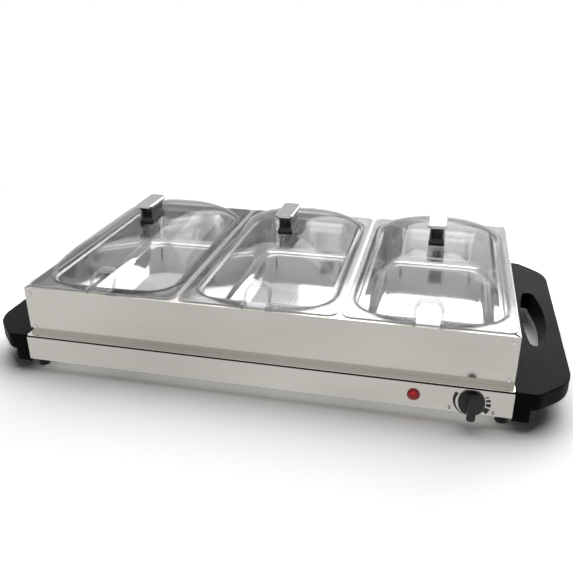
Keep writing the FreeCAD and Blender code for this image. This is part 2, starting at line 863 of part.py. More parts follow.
def wiring():
    """The wires inside the base, each bent gently between the pieces that it joins."""
    block_front = rear_y - block_in_from_back - block_half_depth
    block_z = cover_top + block_height / 2
    tab_y = front_y + base_sheet + thermostat_depth
    tab_z = knob_z - thermostat_half_height / 2
    pin_x = element_right_end + terminal_bush_length / 2 + terminal_pin_length
    front_pin = Vector(pin_x, element_rows()[0], element_z)
    rear_pin = Vector(pin_x, element_rows()[-1], element_z)
    cutoff = cutoff_place()
    lead = Vector(cutoff_length / 2 + cutoff_lead_length, 0, 0)
    lamp_back = front_y + base_sheet + holder_length
    lamp_spread = neon_lead_spread * 2
    case_left = knob_x - thermostat_half_width
    case_entry_y = lamp_back - wire_side_step
    live_x = block_x + block_screw_pitch
    live = [Vector(live_x, block_front, block_z), Vector(live_x, base_y + wire_rear_turn, block_z),
            Vector(knob_x - wire_side_step, base_y - wire_front_turn, tab_z),
            Vector(knob_x - wire_side_step, tab_y, tab_z)]
    switched = [Vector(knob_x + wire_side_step, tab_y, tab_z),
                Vector(knob_x + wire_side_step, tab_y + wire_run_out, tab_z),
                Vector(pin_x + wire_run_out, front_pin.y - wire_run_out, element_z - terminal_bush_radius),
                Vector(pin_x + wire_run_out, front_pin.y, element_z), front_pin]
    to_cutoff = [rear_pin, Vector(pin_x + wire_run_out, rear_pin.y, element_z),
                 Vector(pin_x + wire_run_out, cutoff.y, cutoff.z), cutoff + lead]
    neutral_x = block_x - block_screw_pitch
    neutral = [cutoff - lead, Vector(neutral_x - wire_side_step, cutoff.y, cutoff.z),
               Vector(neutral_x, cutoff.y + wire_cutoff_turn, block_z),
               Vector(neutral_x, block_front, block_z)]
    lamp_live = [Vector(lamp_x + lamp_spread, lamp_back, lamp_z),
                 Vector(lamp_x + lamp_spread, lamp_back + wire_run_out, lamp_z),
                 Vector(case_left - wire_run_out, case_entry_y, knob_z),
                 Vector(case_left, case_entry_y, knob_z)]
    lamp_return = [Vector(lamp_x - lamp_spread, lamp_back, lamp_z),
                   Vector(lamp_x - lamp_spread, lamp_back + 2 * wire_run_out, lamp_z),
                   Vector(block_x, base_y - wire_lamp_turn, block_z), Vector(block_x, block_front, block_z)]
    routes = ((live, wire_wide_bend), (switched, wire_bend), (to_cutoff, wire_bend),
              (neutral, wire_bend), (lamp_live, wire_bend), (lamp_return, wire_wide_bend))
    return [wire(points, bend) for points, bend in routes]


def wing_outline(z, inset):
    """The right wing's edge in plan. An inset moves the whole edge inwards by the same amount."""
    slant = math.sqrt(0.5)
    half_depth = handle_half_depth - inset
    small = wing_small_radius - inset
    large = wing_large_radius - inset
    reach = handle_reach - inset
    first_x = wing_corner_start + small * slant
    first_y = small * (1 - slant)
    second_x = reach - large * (1 - slant)
    second_y = first_y + second_x - first_x
    small_middle = (wing_corner_start + small * math.sin(math.pi / 8),
                    small * (1 - math.cos(math.pi / 8)))
    large_middle = (reach - large * (1 - math.cos(math.pi / 8)),
                    second_y + large * (slant - math.sin(math.pi / 8)))
    third_y = second_y + large * slant

    def spot(x, along, end):
        return Vector(base_half + x, base_y + end * (half_depth - along), z)

    edges = []
    front = [spot(0, 0, -1), spot(wing_corner_start, 0, -1), spot(*small_middle, -1),
             spot(first_x, first_y, -1), spot(second_x, second_y, -1), spot(*large_middle, -1),
             spot(reach, third_y, -1)]
    back = [Vector(point.x, 2 * base_y - point.y, z) for point in front]
    for side in (front, back):
        edges.append([Part.makeLine(side[0], side[1]), Part.Arc(*side[1:4]).toShape(),
                      Part.makeLine(side[3], side[4]), Part.Arc(*side[4:7]).toShape()])
    closing = [Part.makeLine(front[6], back[6]), Part.makeLine(back[0], front[0])]
    return Part.Wire(Part.__sortEdges__(edges[0] + edges[1] + closing))


def finger_outline(z, draft, grow):
    """The finger hole's edge at a height: draft draws its outer side in, grow widens all of it."""
    def spot(x, y):
        return Vector(base_half + x, base_y + y, z)

    inner = finger_in - grow
    outer = finger_out - draft + grow
    end_in = finger_end_in - grow
    end_out = finger_end_out - draft + grow
    end_middle = (end_in + end_out) / 2
    tip = finger_half_length + grow
    shoulder = finger_shoulder
    return Part.Wire([
        Part.Arc(spot(end_in, -shoulder), spot(inner, 0), spot(end_in, shoulder)).toShape(),
        Part.Arc(spot(end_in, shoulder), spot(end_middle, tip), spot(end_out, shoulder)).toShape(),
        Part.Arc(spot(end_out, shoulder), spot(outer, 0), spot(end_out, -shoulder)).toShape(),
        Part.Arc(spot(end_out, -shoulder), spot(end_middle, -tip), spot(end_in, -shoulder)).toShape()])


def wing_solid():
    """The wing as a full slab with its edges rounded."""
    slab = Part.Face(wing_outline(wing_bottom, 0)).extrude(Vector(0, 0, wing_thickness))
    outside = base_half + 0.01
    slab = round_edges(slab, wing_bottom_round, lambda p: p.z < wing_bottom + 0.01 and p.x > outside)
    return round_edges(slab, wing_top_round, lambda p: p.z > ledge_top - 0.01 and p.x > outside)


def end_cap_solid():
    """The upright block that covers the end of the base under the wing."""
    cap = block(Vector(base_half, base_y - handle_half_depth, cap_bottom),
                Vector(base_half + cap_thickness, base_y + handle_half_depth, ledge_top - wing_top_round))
    return round_edges(cap, cap_round, lambda p: (p.z < cap_bottom + 0.01 or p.x > base_half
                                                  + cap_thickness - 0.01)
                       and p.x > base_half + 0.01 and p.z < ledge_top - wing_top_round - 0.01)


def handle_hollow():
    """The room inside the moulding, open towards the base."""
    height = wing_thickness - 2 * handle_wall
    wing = Part.Face(wing_outline(wing_bottom + handle_wall, handle_wall)).extrude(Vector(0, 0, height))
    reach = handle_half_depth - handle_wall
    cap = block(Vector(base_half, base_y - reach, cap_bottom + handle_wall),
                Vector(base_half + cap_thickness - handle_wall, base_y + reach, ledge_top - handle_wall))
    collar = loft([finger_outline(wing_bottom, finger_draft, handle_wall),
                   finger_outline(ledge_top, 0, handle_wall)])
    return joined([wing, cap]).cut(collar)


def handle_bevels():
    """Two upright wedges that bevel the cap's corners beside the base."""
    wedges = []
    for side in (-1, 1):
        y = base_y + side * handle_half_depth
        corners = [Vector(base_half, y, cap_bottom), Vector(base_half + cap_bevel, y, cap_bottom),
                   Vector(base_half, y - side * cap_bevel, cap_bottom)]
        wedges.append(prism(corners, ledge_top - cap_bottom))
    return wedges


def handle_right():
    """The right handle: a hollow moulding with a finger hole, screw bosses and an end cap."""
    right = Vector(1, 0, 0)
    body = joined([wing_solid(), end_cap_solid()]).cut(handle_hollow())
    bosses = []
    holes = []
    for y in handle_screw_rows():
        foot = Vector(base_half, y, handle_screw_z)
        bosses.append(rod(foot, right, handle_boss_radius, cap_thickness - handle_wall / 2))
        holes.append(rod(foot, right, handle_screw_radius, handle_screw_depth))
    finger_hole = loft([finger_outline(wing_bottom, finger_draft, 0), finger_outline(ledge_top, 0, 0)])
    return joined([body] + bosses).cut(holes + [finger_hole] + handle_bevels())


def handle_screws():
    """The screws that hold both handles, driven outwards from inside the base."""
    screws = []
    right = Vector(1, 0, 0)
    for y in handle_screw_rows():
        seat = Vector(base_half - base_sheet, y, handle_screw_z)
        head = rod(seat, -right, handle_screw_head_radius, screw_head_height)
        shank = rod(seat, right, handle_screw_radius, base_sheet + handle_screw_depth)
        screw = joined([head, shank])
        screws += [screw, across_base(screw)]
    return screws


def rivet_places():
    """The heights of the rivets in each corner of the frame."""
    return (frame_top - rivet_below_top, ledge_top + rivet_above_bottom)


def rivet_shanks():
    """The parts of the rivets that fill the holes in the sheets, along the frame's front."""
    shanks = []
    for side in (-1, 1):
        for z in rivet_places():
            start = Vector(side * (frame_half - rivet_in_from_end), frame_front_y, z)
            shanks.append(rod(start, Vector(0, 1, 0), rivet_radius, 2 * frame_sheet))
    return shanks


def frame_rivets():
    """Eight rivets with round heads outside and flat tails inside."""
    rivets = []
    for shank in rivet_shanks():
        middle = shank.CenterOfMass
        start = Vector(middle.x, frame_front_y, middle.z)
        head = rod(start, Vector(0, -1, 0), rivet_head_radius, rivet_head_height)
        face_y = frame_front_y - rivet_head_height + 0.01
        head = round_edges(head, rivet_head_height * 0.8, lambda p: p.y < face_y)
        tail_start = start + Vector(0, 2 * frame_sheet, 0)
        tail = rod(tail_start, Vector(0, 1, 0), rivet_tail_radius, rivet_tail_height)
        rivet = joined([head, shank, tail])
        rivets += [rivet, front_to_back(rivet)]
    return rivets


def frame_front_panel():
    """The frame's front: a tall panel, mitred flange at the top and a short one at the foot."""
    y = frame_front_y
    web = block(Vector(-frame_half, y, ledge_top), Vector(frame_half, y + frame_sheet, frame_top))
    outer = frame_half - frame_corner_gap
    inner = outer - frame_front_flange
    z = frame_top - frame_sheet
    head = prism([Vector(-outer, y, z), Vector(outer, y, z), Vector(inner, y + frame_front_flange, z),
                  Vector(-inner, y + frame_front_flange, z)], frame_sheet)
    foot_half = frame_half - frame_foot_corner_gap
    foot = block(Vector(-foot_half, y, ledge_top),
                 Vector(foot_half, y + frame_foot_flange, ledge_top + frame_sheet))
    panel = joined([web, head, foot])
    return panel.cut(rivet_shanks())


def frame_side_panel():
    """The frame's right side, with upright flanges that are riveted behind the long panels."""
    y_low = frame_front_y + frame_sheet
    y_high = frame_rear_y - frame_sheet
    inner_x = frame_half - frame_sheet
    web = block(Vector(inner_x, y_low, ledge_top), Vector(frame_half, y_high, frame_top))
    outer_front = frame_front_y + frame_corner_gap
    outer_rear = frame_rear_y - frame_corner_gap
    flange_x = frame_half - frame_side_flange
    z = frame_top - frame_sheet
    head = prism([Vector(frame_half, outer_front, z), Vector(frame_half, outer_rear, z),
                  Vector(flange_x, outer_rear - frame_side_flange, z),
                  Vector(flange_x, outer_front + frame_side_flange, z)], frame_sheet)
    foot = block(Vector(frame_half - frame_foot_flange, frame_front_y + frame_foot_corner_gap, ledge_top),
                 Vector(frame_half, frame_rear_y - frame_foot_corner_gap, ledge_top + frame_sheet))
    low_z = ledge_top + frame_joint_end_gap
    high_z = frame_top - frame_joint_end_gap
    flange = block(Vector(frame_half - frame_joint_flange, y_low, low_z),
                   Vector(frame_half, y_low + frame_sheet, high_z))
    panel = joined([web, head, foot, flange, front_to_back(flange)])
    shanks = rivet_shanks()
    return panel.cut(shanks + [front_to_back(shank) for shank in shanks])


def crossbar(x):
    """A channel between two pans. Its webs reach under the frame's front and rear flanges."""
    half = crossbar_width / 2
    end = frame_front_flange + crossbar_end_gap
    low_z = frame_top - crossbar_height
    high_z = frame_top - frame_sheet
    top = block(Vector(x - half, frame_front_y + end, high_z),
                Vector(x + half, frame_rear_y - end, frame_top))
    pieces = [top]
    for web_x in (x - half, x + half - frame_sheet):
        pieces.append(block(Vector(web_x, frame_front_y + frame_sheet, low_z),
                            Vector(web_x + frame_sheet, frame_rear_y - frame_sheet, high_z)))
    return joined(pieces)


def bowl_solid(x, skin):
    """The bowl as a full body, drawn in by a skin thickness to make the room inside."""
    half_width = bowl_half_width - skin
    half_depth = bowl_half_depth - skin
    corner = pan_corner - skin
    step_z = frame_top - pan_step_drop + skin
    floor_z = pan_underside + skin

    def ring(z, inset):
        return rounded_outline(x, base_y, z, half_width - inset, half_depth - inset, corner - inset)

    step = loft([ring(pan_rim_top, 0), ring(step_z, pan_step_draft)])
    wall_inset = pan_step_draft + pan_step_width
    wall = loft([ring(step_z, wall_inset), ring(floor_z, wall_inset + pan_wall_draft)])
    wall = round_edges(wall, pan_floor_round - skin, lambda p: p.z < floor_z + 0.01)
    return joined([step, wall])


def pan(x):
    """A pressed pan: a flat rim that rests on the frame, a step and a deep bowl."""
    rim = rounded_plate(x, base_y, frame_top, pan_rim_top, pan_half_width, pan_half_depth, pan_rim_corner)
    return joined([rim, bowl_solid(x, 0)]).cut(bowl_solid(x, pan_sheet))


def dome_solid(x, offset):
    """The dome as a full body. Its rings grow rounder as they climb to the flat crown."""
    rings = []
    base_roundness = dome_corner / dome_half_width
    for step in range(dome_rings + 1):
        angle = math.pi / 2 * step / dome_rings
        spread = max(math.cos(angle), 0.0)
        rise = math.sin(angle)
        side_spread = spread ** (2 / dome_side_fullness)
        end_spread = spread ** (2 / dome_end_fullness)
        half_width = crown_half_width + (dome_half_width - crown_half_width) * side_spread
        half_depth = crown_half_depth + (dome_half_depth - crown_half_depth) * end_spread
        roundness = base_roundness + (crown_roundness - base_roundness) * math.sqrt(rise)
        z = lid_flange_top + (dome_height + offset) * rise
        rings.append(rounded_outline(x, base_y, z, half_width + offset, half_depth + offset,
                                     half_width * roundness + offset))
    return loft(rings, False)


def dome_room(x):
    """The hollow under the dome, down through the lid's flange."""
    neck = rounded_plate(x, base_y, pan_rim_top, lid_flange_top, dome_half_width - dome_wall,
                         dome_half_depth - dome_wall, dome_corner - dome_wall)
    return joined([neck, dome_solid(x, -dome_wall)])


def arch_solid(x, z_low, half_width, height, radius):
    """A round-shouldered arch above a level, run back from the lid's front edge."""
    y = lid_front_y - lid_skirt_sheet
    high = lid_flange_top + height
    slant = radius * (1 - math.sqrt(0.5))

    def spot(side, inward, z):
        return Vector(x + side * (half_width - inward), y, z)

    edges = [
        Part.makeLine(spot(-1, 0, z_low), spot(-1, 0, high - radius)),
        Part.Arc(spot(-1, 0, high - radius), spot(-1, slant, high - slant), spot(-1, radius, high)).toShape(),
        Part.makeLine(spot(-1, radius, high), spot(1, radius, high)),
        Part.Arc(spot(1, radius, high), spot(1, slant, high - slant), spot(1, 0, high - radius)).toShape(),
        Part.makeLine(spot(1, 0, high - radius), spot(1, 0, z_low)),
        Part.makeLine(spot(1, 0, z_low), spot(-1, 0, z_low))]
    return Part.Face(Part.Wire(edges)).extrude(Vector(0, notch_reach, 0))


def notch_bead_solid(x):
    """The raised bead that runs round the utensil notch and forward over the flange."""
    outer = arch_solid(x, lid_flange_top, notch_half_width + notch_bead, notch_height + notch_bead,
                       notch_round + notch_bead)
    arch = outer.common(dome_solid(x, notch_bead_rise))
    legs = []
    for side in (-1, 1):
        edge_a = x + side * notch_half_width
        edge_b = x + side * (notch_half_width + notch_bead)
        low = Vector(min(edge_a, edge_b), lid_front_y, pan_rim_top)
        high = Vector(max(edge_a, edge_b), lid_front_y + dome_front_inset + dome_wall / 2,
                      lid_flange_top + notch_bead_rise)
        legs.append(block(low, high))
    return [arch] + legs


def lid(x):
    """A clear lid: a flat flange with a short skirt, a dome, and a notch for a serving spoon."""
    half_width = lid_width / 2
    half_depth = lid_depth / 2
    skirt_foot = frame_top + lid_skirt_gap
    flange = rounded_plate(x, base_y, pan_rim_top, lid_flange_top, half_width, half_depth, lid_corner)
    skirt = rounded_plate(x, base_y, skirt_foot, lid_flange_top, half_width, half_depth, lid_corner)
    skirt_room = rounded_plate(x, base_y, skirt_foot, pan_rim_top, half_width - lid_skirt_sheet,
                               half_depth - lid_skirt_sheet, lid_corner - lid_skirt_sheet)
    body = joined([flange, skirt.cut(skirt_room), dome_solid(x, 0)] + notch_bead_solid(x))
    notch = arch_solid(x, frame_top, notch_half_width, notch_height, notch_round)
    screw_hole = rod(Vector(x, base_y, crown_top - 2 * dome_wall), Vector(0, 0, 1),
                     grip_screw_radius + hole_play, 3 * dome_wall)
    return body.cut([dome_room(x), notch, screw_hole])


def grip_screw(x):
    """The screw that comes up through the crown into the grip."""
    seat = Vector(x, base_y, crown_top - dome_wall)
    head = rod(seat, Vector(0, 0, -1), grip_screw_head_radius, grip_screw_head_height)
    head = round_edges(head, grip_screw_head_height / 2,
                       lambda p: p.z < seat.z - grip_screw_head_height + 0.01)
    shank = rod(seat, Vector(0, 0, 1), grip_screw_radius, dome_wall + grip_screw_length)
    return joined([head, shank])


def lid_grip(x):
    """The black grip: waisted in the middle and grooved along its sides."""
    def ring(share, inset):
        z = crown_top + grip_height * share
        return rounded_outline(x, base_y, z, grip_half_width - inset, grip_half_length - inset, grip_round)

    body = loft([ring(0, 0), ring(0.15, 0.1), ring(0.35, grip_waist), ring(0.75, grip_waist),
                 ring(1, 0)])
    grooves = []
    for groove in range(grip_groove_count):
        z = crown_top + grip_groove_start + groove * grip_groove_pitch
        outer = rounded_plate(x, base_y, z, z + grip_groove_height, 2 * grip_half_width,
                              2 * grip_half_length, grip_round)
        inset = grip_waist + grip_groove_depth
        core = rounded_plate(x, base_y, z, z + grip_groove_height, grip_half_width - inset,
                             grip_half_length - inset, grip_round)
        grooves.append(outer.cut(core))
    shank = rod(Vector(x, base_y, crown_top), Vector(0, 0, 1), grip_screw_radius, grip_screw_length)
    return body.cut(grooves + [shank])


def grip_plate(x):
    """The steel plate on top of a grip, with a polished bevel round its upper edge."""
    z_low = crown_top + grip_height
    z_high = z_low + plate_height
    plate = rounded_plate(x, base_y, z_low, z_high, plate_half_width, plate_half_length, plate_round)
    edges = [edge for edge in plate.Edges if edge.CenterOfMass.z > z_high - 0.01]
    return plate.makeChamfer(plate_bevel, edges)


def build_base():
    """Everything that stays put on the table."""
    save("base_front_panel", base_front_panel())
    save("base_rear_panel", base_rear_panel())
    save("base_end_plate_right", base_end_plate())
    save("base_end_plate_left", across_base(base_end_plate()))
    save("bottom_cover", bottom_cover())
    save("rubber_feet", rubber_feet())
    save("foot_screws", foot_screws())
    save("bottom_cover_screws", cover_screws())
    save("plate_gasket", plate_gasket())
    save("hot_plate", hot_plate())
    save("heat_spreader", heat_spreader())
    save("heating_element", heating_element())
    save("element_terminals", element_terminals())
    save("element_clamp_bars", clamp_bars())
    save("element_clamp_studs", clamp_studs())
    save("element_clamp_nuts", clamp_nuts())
    save("insulation_pad", insulation_pad())
    save("thermal_cutoff", thermal_cutoff())
    save("thermal_cutoff_clip", cutoff_clip())
    save("thermostat", thermostat())
    save("thermostat_nut", thermostat_nut())
    save("indicator_lens", indicator_lens())
    save("indicator_holder", indicator_holder())
    save("neon_lamp", neon_lamp())
    save("mains_gland", mains_gland())
    save("terminal_block", terminal_block())
    save("wiring", wiring())
    save("handle_right", handle_right())
    save("handle_left", across_base(handle_right()))
    save("handle_screws", handle_screws())


def build_knob():
    """The knob and the shaft that turns with it."""
    save("control_knob", control_knob())
    save("thermostat_shaft", thermostat_shaft())


def build_frame():
    """The frame that lifts off the hot plate."""
    save("frame_front_panel", frame_front_panel())
    save("frame_rear_panel", front_to_back(frame_front_panel()))
    save("frame_side_panel_right", frame_side_panel())
    save("frame_side_panel_left", across_base(frame_side_panel()))
    save("frame_crossbar_left", crossbar(-pan_pitch / 2))
    save("frame_crossbar_right", crossbar(pan_pitch / 2))
    save("frame_rivets", frame_rivets())


def build_pans_and_lids():
    """Three pans, each with its lid, grip, plate and screw."""
    for place, x in pan_places.items():
        save("pan_" + place, pan(x))
        save("lid_" + place, lid(x))
        save("lid_grip_" + place, lid_grip(x))
        save("lid_grip_plate_" + place, grip_plate(x))
        save("lid_grip_screw_" + place, grip_screw(x))


os.makedirs("parts", exist_ok=True)
build_base()
build_knob()
build_frame()
build_pans_and_lids()
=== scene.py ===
import math

import bmesh
import bpy
from bpy.props import FloatProperty, FloatVectorProperty, PointerProperty
from mathutils import Matrix, Vector


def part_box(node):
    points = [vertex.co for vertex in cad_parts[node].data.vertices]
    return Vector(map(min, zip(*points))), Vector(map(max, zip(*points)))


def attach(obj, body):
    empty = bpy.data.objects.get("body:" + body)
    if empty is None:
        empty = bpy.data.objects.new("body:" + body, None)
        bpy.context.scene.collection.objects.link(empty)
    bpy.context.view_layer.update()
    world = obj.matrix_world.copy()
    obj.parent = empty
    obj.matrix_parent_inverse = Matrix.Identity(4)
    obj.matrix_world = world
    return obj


bl_info = {
    "name": "Food Warmer Tray Finishes",
    "version": (1, 0, 0),
    "blender": (4, 5, 0),
    "location": "3D View > Sidebar > Warmer",
    "description": "Finishes and fine detail for an electric food warmer with three lidded pans",
    "category": "Object",
}

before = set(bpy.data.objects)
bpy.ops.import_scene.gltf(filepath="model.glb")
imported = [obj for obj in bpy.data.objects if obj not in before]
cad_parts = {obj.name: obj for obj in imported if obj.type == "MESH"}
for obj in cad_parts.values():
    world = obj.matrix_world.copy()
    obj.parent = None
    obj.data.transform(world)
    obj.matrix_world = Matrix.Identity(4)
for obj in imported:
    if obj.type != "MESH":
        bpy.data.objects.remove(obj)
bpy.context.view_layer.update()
MM = 0.001
PAN_NAMES = ("left", "middle", "right")
# Noise seldom leaves this span, so other ranges are mapped from it.
NOISE_SPAN = {"From_Min": 0.3, "From_Max": 0.7}


def linear(hex_colour):
    """Turns an sRGB colour such as b8b4ae into the linear values that shaders use."""
    shares = [int(hex_colour[i:i + 2], 16) / 255 for i in (0, 2, 4)]
    return (*(s / 12.92 if s <= 0.04045 else ((s + 0.055) / 1.055) ** 2.4 for s in shares), 1.0)


def add(owner, kind, numbered=None, out=0, **named):
    """Adds one node to a material or world and returns one output, or all of them for None.
    Inputs are given by number or by name, with _ for a space. Names that start with a small
    letter are the node's settings."""
    tree = owner.node_tree
    made = tree.nodes.new(kind)
    inputs = dict(numbered or {})
    for name, value in named.items():
        if name[0].isupper():
            inputs[name.replace("_", " ")] = value
        else:
            setattr(made, name, value)
    for key, value in inputs.items():
        if isinstance(value, bpy.types.NodeSocket):
            tree.links.new(value, made.inputs[key])
        else:
            made.inputs[key].default_value = value
    return made.outputs if out is None else made.outputs[out]


def new_material(name):
    """A material with no nodes yet."""
    material = bpy.data.materials.new(name)
    material.use_nodes = True
    material.node_tree.nodes.clear()
    return material


def show(material, shader):
    """Shows a shader on the material's surface."""
    add(material, "ShaderNodeOutputMaterial", out=None, Surface=shader)
    return material


def pattern(material, across_mm, along_mm=None, along_axis=None, detail=2.0, roughness=0.5):
    """Noise that repeats at a real size, and at another along one axis where that is given."""
    scale = [1 / (across_mm * MM)] * 3
    if along_axis:
        scale["XYZ".index(along_axis)] = 1 / (along_mm * MM)
    where = add(material, "ShaderNodeTexCoord", out="Object")
    where = add(material, "ShaderNodeMapping", Vector=where, Scale=scale)
    return add(material, "ShaderNodeTexNoise", out="Fac", Vector=where, Scale=1.0,
               Detail=detail, Roughness=roughness)


def two_tone(material, noise, low, high):
    """A colour that wanders between two colours as the noise does."""
    share = add(material, "ShaderNodeMapRange", Value=noise, **NOISE_SPAN)
    return add(material, "ShaderNodeMix", {0: share, 6: linear(low), 7: linear(high)}, out=2,
               data_type="RGBA")


def textured(material, colour, wear, roughness, relief, bump_mm, strength, edge_mm, **more):
    """Shows a surface whose roughness follows one noise and whose relief follows another. Its
    sharp edges are rounded a little in the shading."""
    rough = add(material, "ShaderNodeMapRange", Value=wear, **NOISE_SPAN,
                To_Min=roughness[0], To_Max=roughness[1])
    soft = add(material, "ShaderNodeBevel", samples=4, Radius=edge_mm * MM)
    bumped = add(material, "ShaderNodeBump", Height=relief, Strength=strength,
                 Distance=bump_mm * MM, Normal=soft)
    shader = add(material, "ShaderNodeBsdfPrincipled", Base_Color=colour, Roughness=rough,
                 Normal=bumped, **more)
    return show(material, shader)


def brushed_stainless(name, along_axis, low="b1ada7", high="cac7c1", roughness=(0.12, 0.18),
                      grain_mm=0.8, length_mm=160.0, edge_mm=0.8, bump_mm=0.004):
    """Stainless sheet brushed along one axis: warm grey, with fine long streaks that smear
    reflections. The real grain is a tenth of a millimetre wide, so it is drawn coarser to show."""
    material = new_material(name)
    grain = pattern(material, grain_mm, length_mm, along_axis, roughness=0.7)
    cloud = pattern(material, across_mm=90.0, along_mm=170.0, along_axis=along_axis, detail=1.0)
    # The tone comes from wide clouds and, half as strongly, from the grain.
    tone = add(material, "ShaderNodeMapRange", Value=cloud, **NOISE_SPAN, To_Min=0.1, To_Max=0.6)
    tone = add(material, "ShaderNodeMath", {0: grain, 1: 0.5, 2: tone}, operation="MULTIPLY_ADD")
    colour = add(material, "ShaderNodeMix", {0: tone, 6: linear(low), 7: linear(high)}, out=2,
                 data_type="RGBA")
    return textured(material, colour, grain, roughness, grain, bump_mm=bump_mm, strength=0.2,
                    edge_mm=edge_mm, Metallic=1.0)


def plain_metal(name, low, high, roughness, grain_mm):
    """Metal with fine mottling, such as zinc plate, galvanised sheet or mill-finish aluminium."""
    material = new_material(name)
    mottle = pattern(material, grain_mm, detail=3.0)
    return textured(material, two_tone(material, mottle, low, high), mottle, roughness, mottle,
                    bump_mm=0.01, strength=0.3, edge_mm=0.2, Metallic=1.0)


def moulded_plastic(name, low, high, roughness, texture_mm, bump_mm, edge_mm=0.4, gloss=0.5):
    """Moulded plastic or rubber: an even colour with the fine texture of its mould."""
    material = new_material(name)
    texture = pattern(material, texture_mm, roughness=0.6)
    cloud = pattern(material, across_mm=40.0)
    return textured(material, two_tone(material, cloud, low, high), cloud, roughness, texture,
                    bump_mm=bump_mm, strength=0.4, edge_mm=edge_mm, Specular_IOR_Level=gloss)


# The utensil notch in each lid, in millimetres: where its arch is, and how wide the bead is.
LID_PITCH = 187.0
FLANGE_TOP = 105.2
FLANGE_OVERLAP = 0.2
NOTCH_HALF_WIDTH = 12.5
NOTCH_HEIGHT = 14.3
NOTCH_ROUND = 7.0
NOTCH_BEAD = 3.4
NOTCH_BEHIND = -100.0
# How much painted highlight the bead gets, and the shares of its width between which that fades
# out.
BEAD_HIGHLIGHT = 0.42
BEAD_FADE = (0.3, 0.6)


def notch_bead_highlight(material):
    """The share of painted highlight on the bead round each notch: it turns the clear lid pale
    there.
    """
    where = add(material, "ShaderNodeTexCoord", out="Object")
    at = add(material, "ShaderNodeSeparateXYZ", out=None, Vector=where)
    # The three notches lie one pitch apart, so distances from the nearest one repeat.
    side = add(material, "ShaderNodeMath", {0: at["X"], 1: LID_PITCH / 2 * MM},
               operation="PINGPONG")
    side = add(material, "ShaderNodeMath", {0: side, 1: (NOTCH_HALF_WIDTH - NOTCH_ROUND) * MM},
               operation="SUBTRACT")
    side = add(material, "ShaderNodeMath", {0: side, 1: 0.0}, operation="MAXIMUM")
    round_from = (FLANGE_TOP + NOTCH_HEIGHT - NOTCH_ROUND) * MM
    above = add(material, "ShaderNodeMath", {0: at["Z"], 1: round_from}, operation="SUBTRACT")
    above = add(material, "ShaderNodeMath", {0: above, 1: 0.0}, operation="MAXIMUM")
    both = add(material, "ShaderNodeCombineXYZ", X=side, Y=above)
    reach = add(material, "ShaderNodeVectorMath", {0: both}, out="Value", operation="LENGTH")
    middle = (NOTCH_ROUND + NOTCH_BEAD / 2) * MM
    off = add(material, "ShaderNodeMath", {0: reach, 1: middle}, operation="SUBTRACT")
    off = add(material, "ShaderNodeMath", {0: off}, operation="ABSOLUTE")
    fade_from, fade_to = (share * NOTCH_BEAD * MM for share in BEAD_FADE)
    bead_highlight = add(material, "ShaderNodeMapRange", Value=off, From_Min=fade_from, From_Max=fade_to,
                To_Min=BEAD_HIGHLIGHT, To_Max=0.0)
    # Only at the front of the lid, and only above its flange.
    front = add(material, "ShaderNodeMath", {0: at["Y"], 1: NOTCH_BEHIND * MM},
                operation="LESS_THAN")
    raised = add(material, "ShaderNodeMath", {0: at["Z"], 1: (FLANGE_TOP - FLANGE_OVERLAP) * MM},
                 operation="GREATER_THAN")
    bead_highlight = add(material, "ShaderNodeMath", {0: bead_highlight, 1: front}, operation="MULTIPLY")
    return add(material, "ShaderNodeMath", {0: bead_highlight, 1: raised}, operation="MULTIPLY")


# How late the faces of clear plastic take their painted shade and shine as they turn away from the
# eye.
SLANT_SHADE_POWER = 3.5
SHINE_POWER = 6.0
# Corners are painted pale as a highlight where the rounded and the true surface agree less than
# this.
CORNER_HIGHLIGHT_FULL = 0.75
CORNER_HIGHLIGHT_NONE = 0.95


def clear_plastic(name, face, slant_shade_colour, roughness, least_shine, most_shine, edge_mm, edge_highlight_share):
    """Clear moulded plastic: nearly all light goes straight through, its sloping faces shine and
    take a painted shade, and its cut edges and corners are painted pale as a highlight."""
    material = new_material(name)
    slant = add(material, "ShaderNodeLayerWeight", out="Facing", Blend=0.5)
    # Painted shade: the light let through turns grey as the face slopes away from the eye.
    slant_shade_share = add(material, "ShaderNodeMath", {0: slant, 1: SLANT_SHADE_POWER}, operation="POWER")
    tint = add(material, "ShaderNodeMix", {0: slant_shade_share, 6: linear(face), 7: linear(slant_shade_colour)}, out=2,
               data_type="RGBA")
    through = add(material, "ShaderNodeBsdfTransparent", Color=tint)
    rough = add(material, "ShaderNodeMapRange", Value=pattern(material, across_mm=18.0),
                **NOISE_SPAN, To_Min=roughness[0], To_Max=roughness[1])
    shine = add(material, "ShaderNodeBsdfGlossy", distribution="GGX", Color=linear("ffffff"),
                Roughness=rough)
    share = add(material, "ShaderNodeMath", {0: slant, 1: SHINE_POWER}, operation="POWER")
    share = add(material, "ShaderNodeMapRange", Value=share, To_Min=least_shine,
                To_Max=most_shine)
    clear = add(material, "ShaderNodeMixShader", {0: share, 1: through, 2: shine})
    soft = add(material, "ShaderNodeBevel", samples=8, Radius=edge_mm * MM)
    true = add(material, "ShaderNodeNewGeometry", out="Normal")
    agree = add(material, "ShaderNodeVectorMath", {0: soft, 1: true}, out="Value",
                operation="DOT_PRODUCT")
    corner = add(material, "ShaderNodeMapRange", Value=agree, From_Min=CORNER_HIGHLIGHT_FULL,
                 From_Max=CORNER_HIGHLIGHT_NONE, To_Min=edge_highlight_share, To_Max=0.0)
    corner = add(material, "ShaderNodeMath", {0: corner, 1: notch_bead_highlight(material)},
                 operation="MAXIMUM")
    # Painted highlight: an opaque pale surface laid over the edges, corners and notch bead.
    pale = add(material, "ShaderNodeBsdfPrincipled", Base_Color=linear("f4f6f8"), Roughness=0.12)
    return show(material, add(material, "ShaderNodeMixShader", {0: corner, 1: clear, 2: pale}))


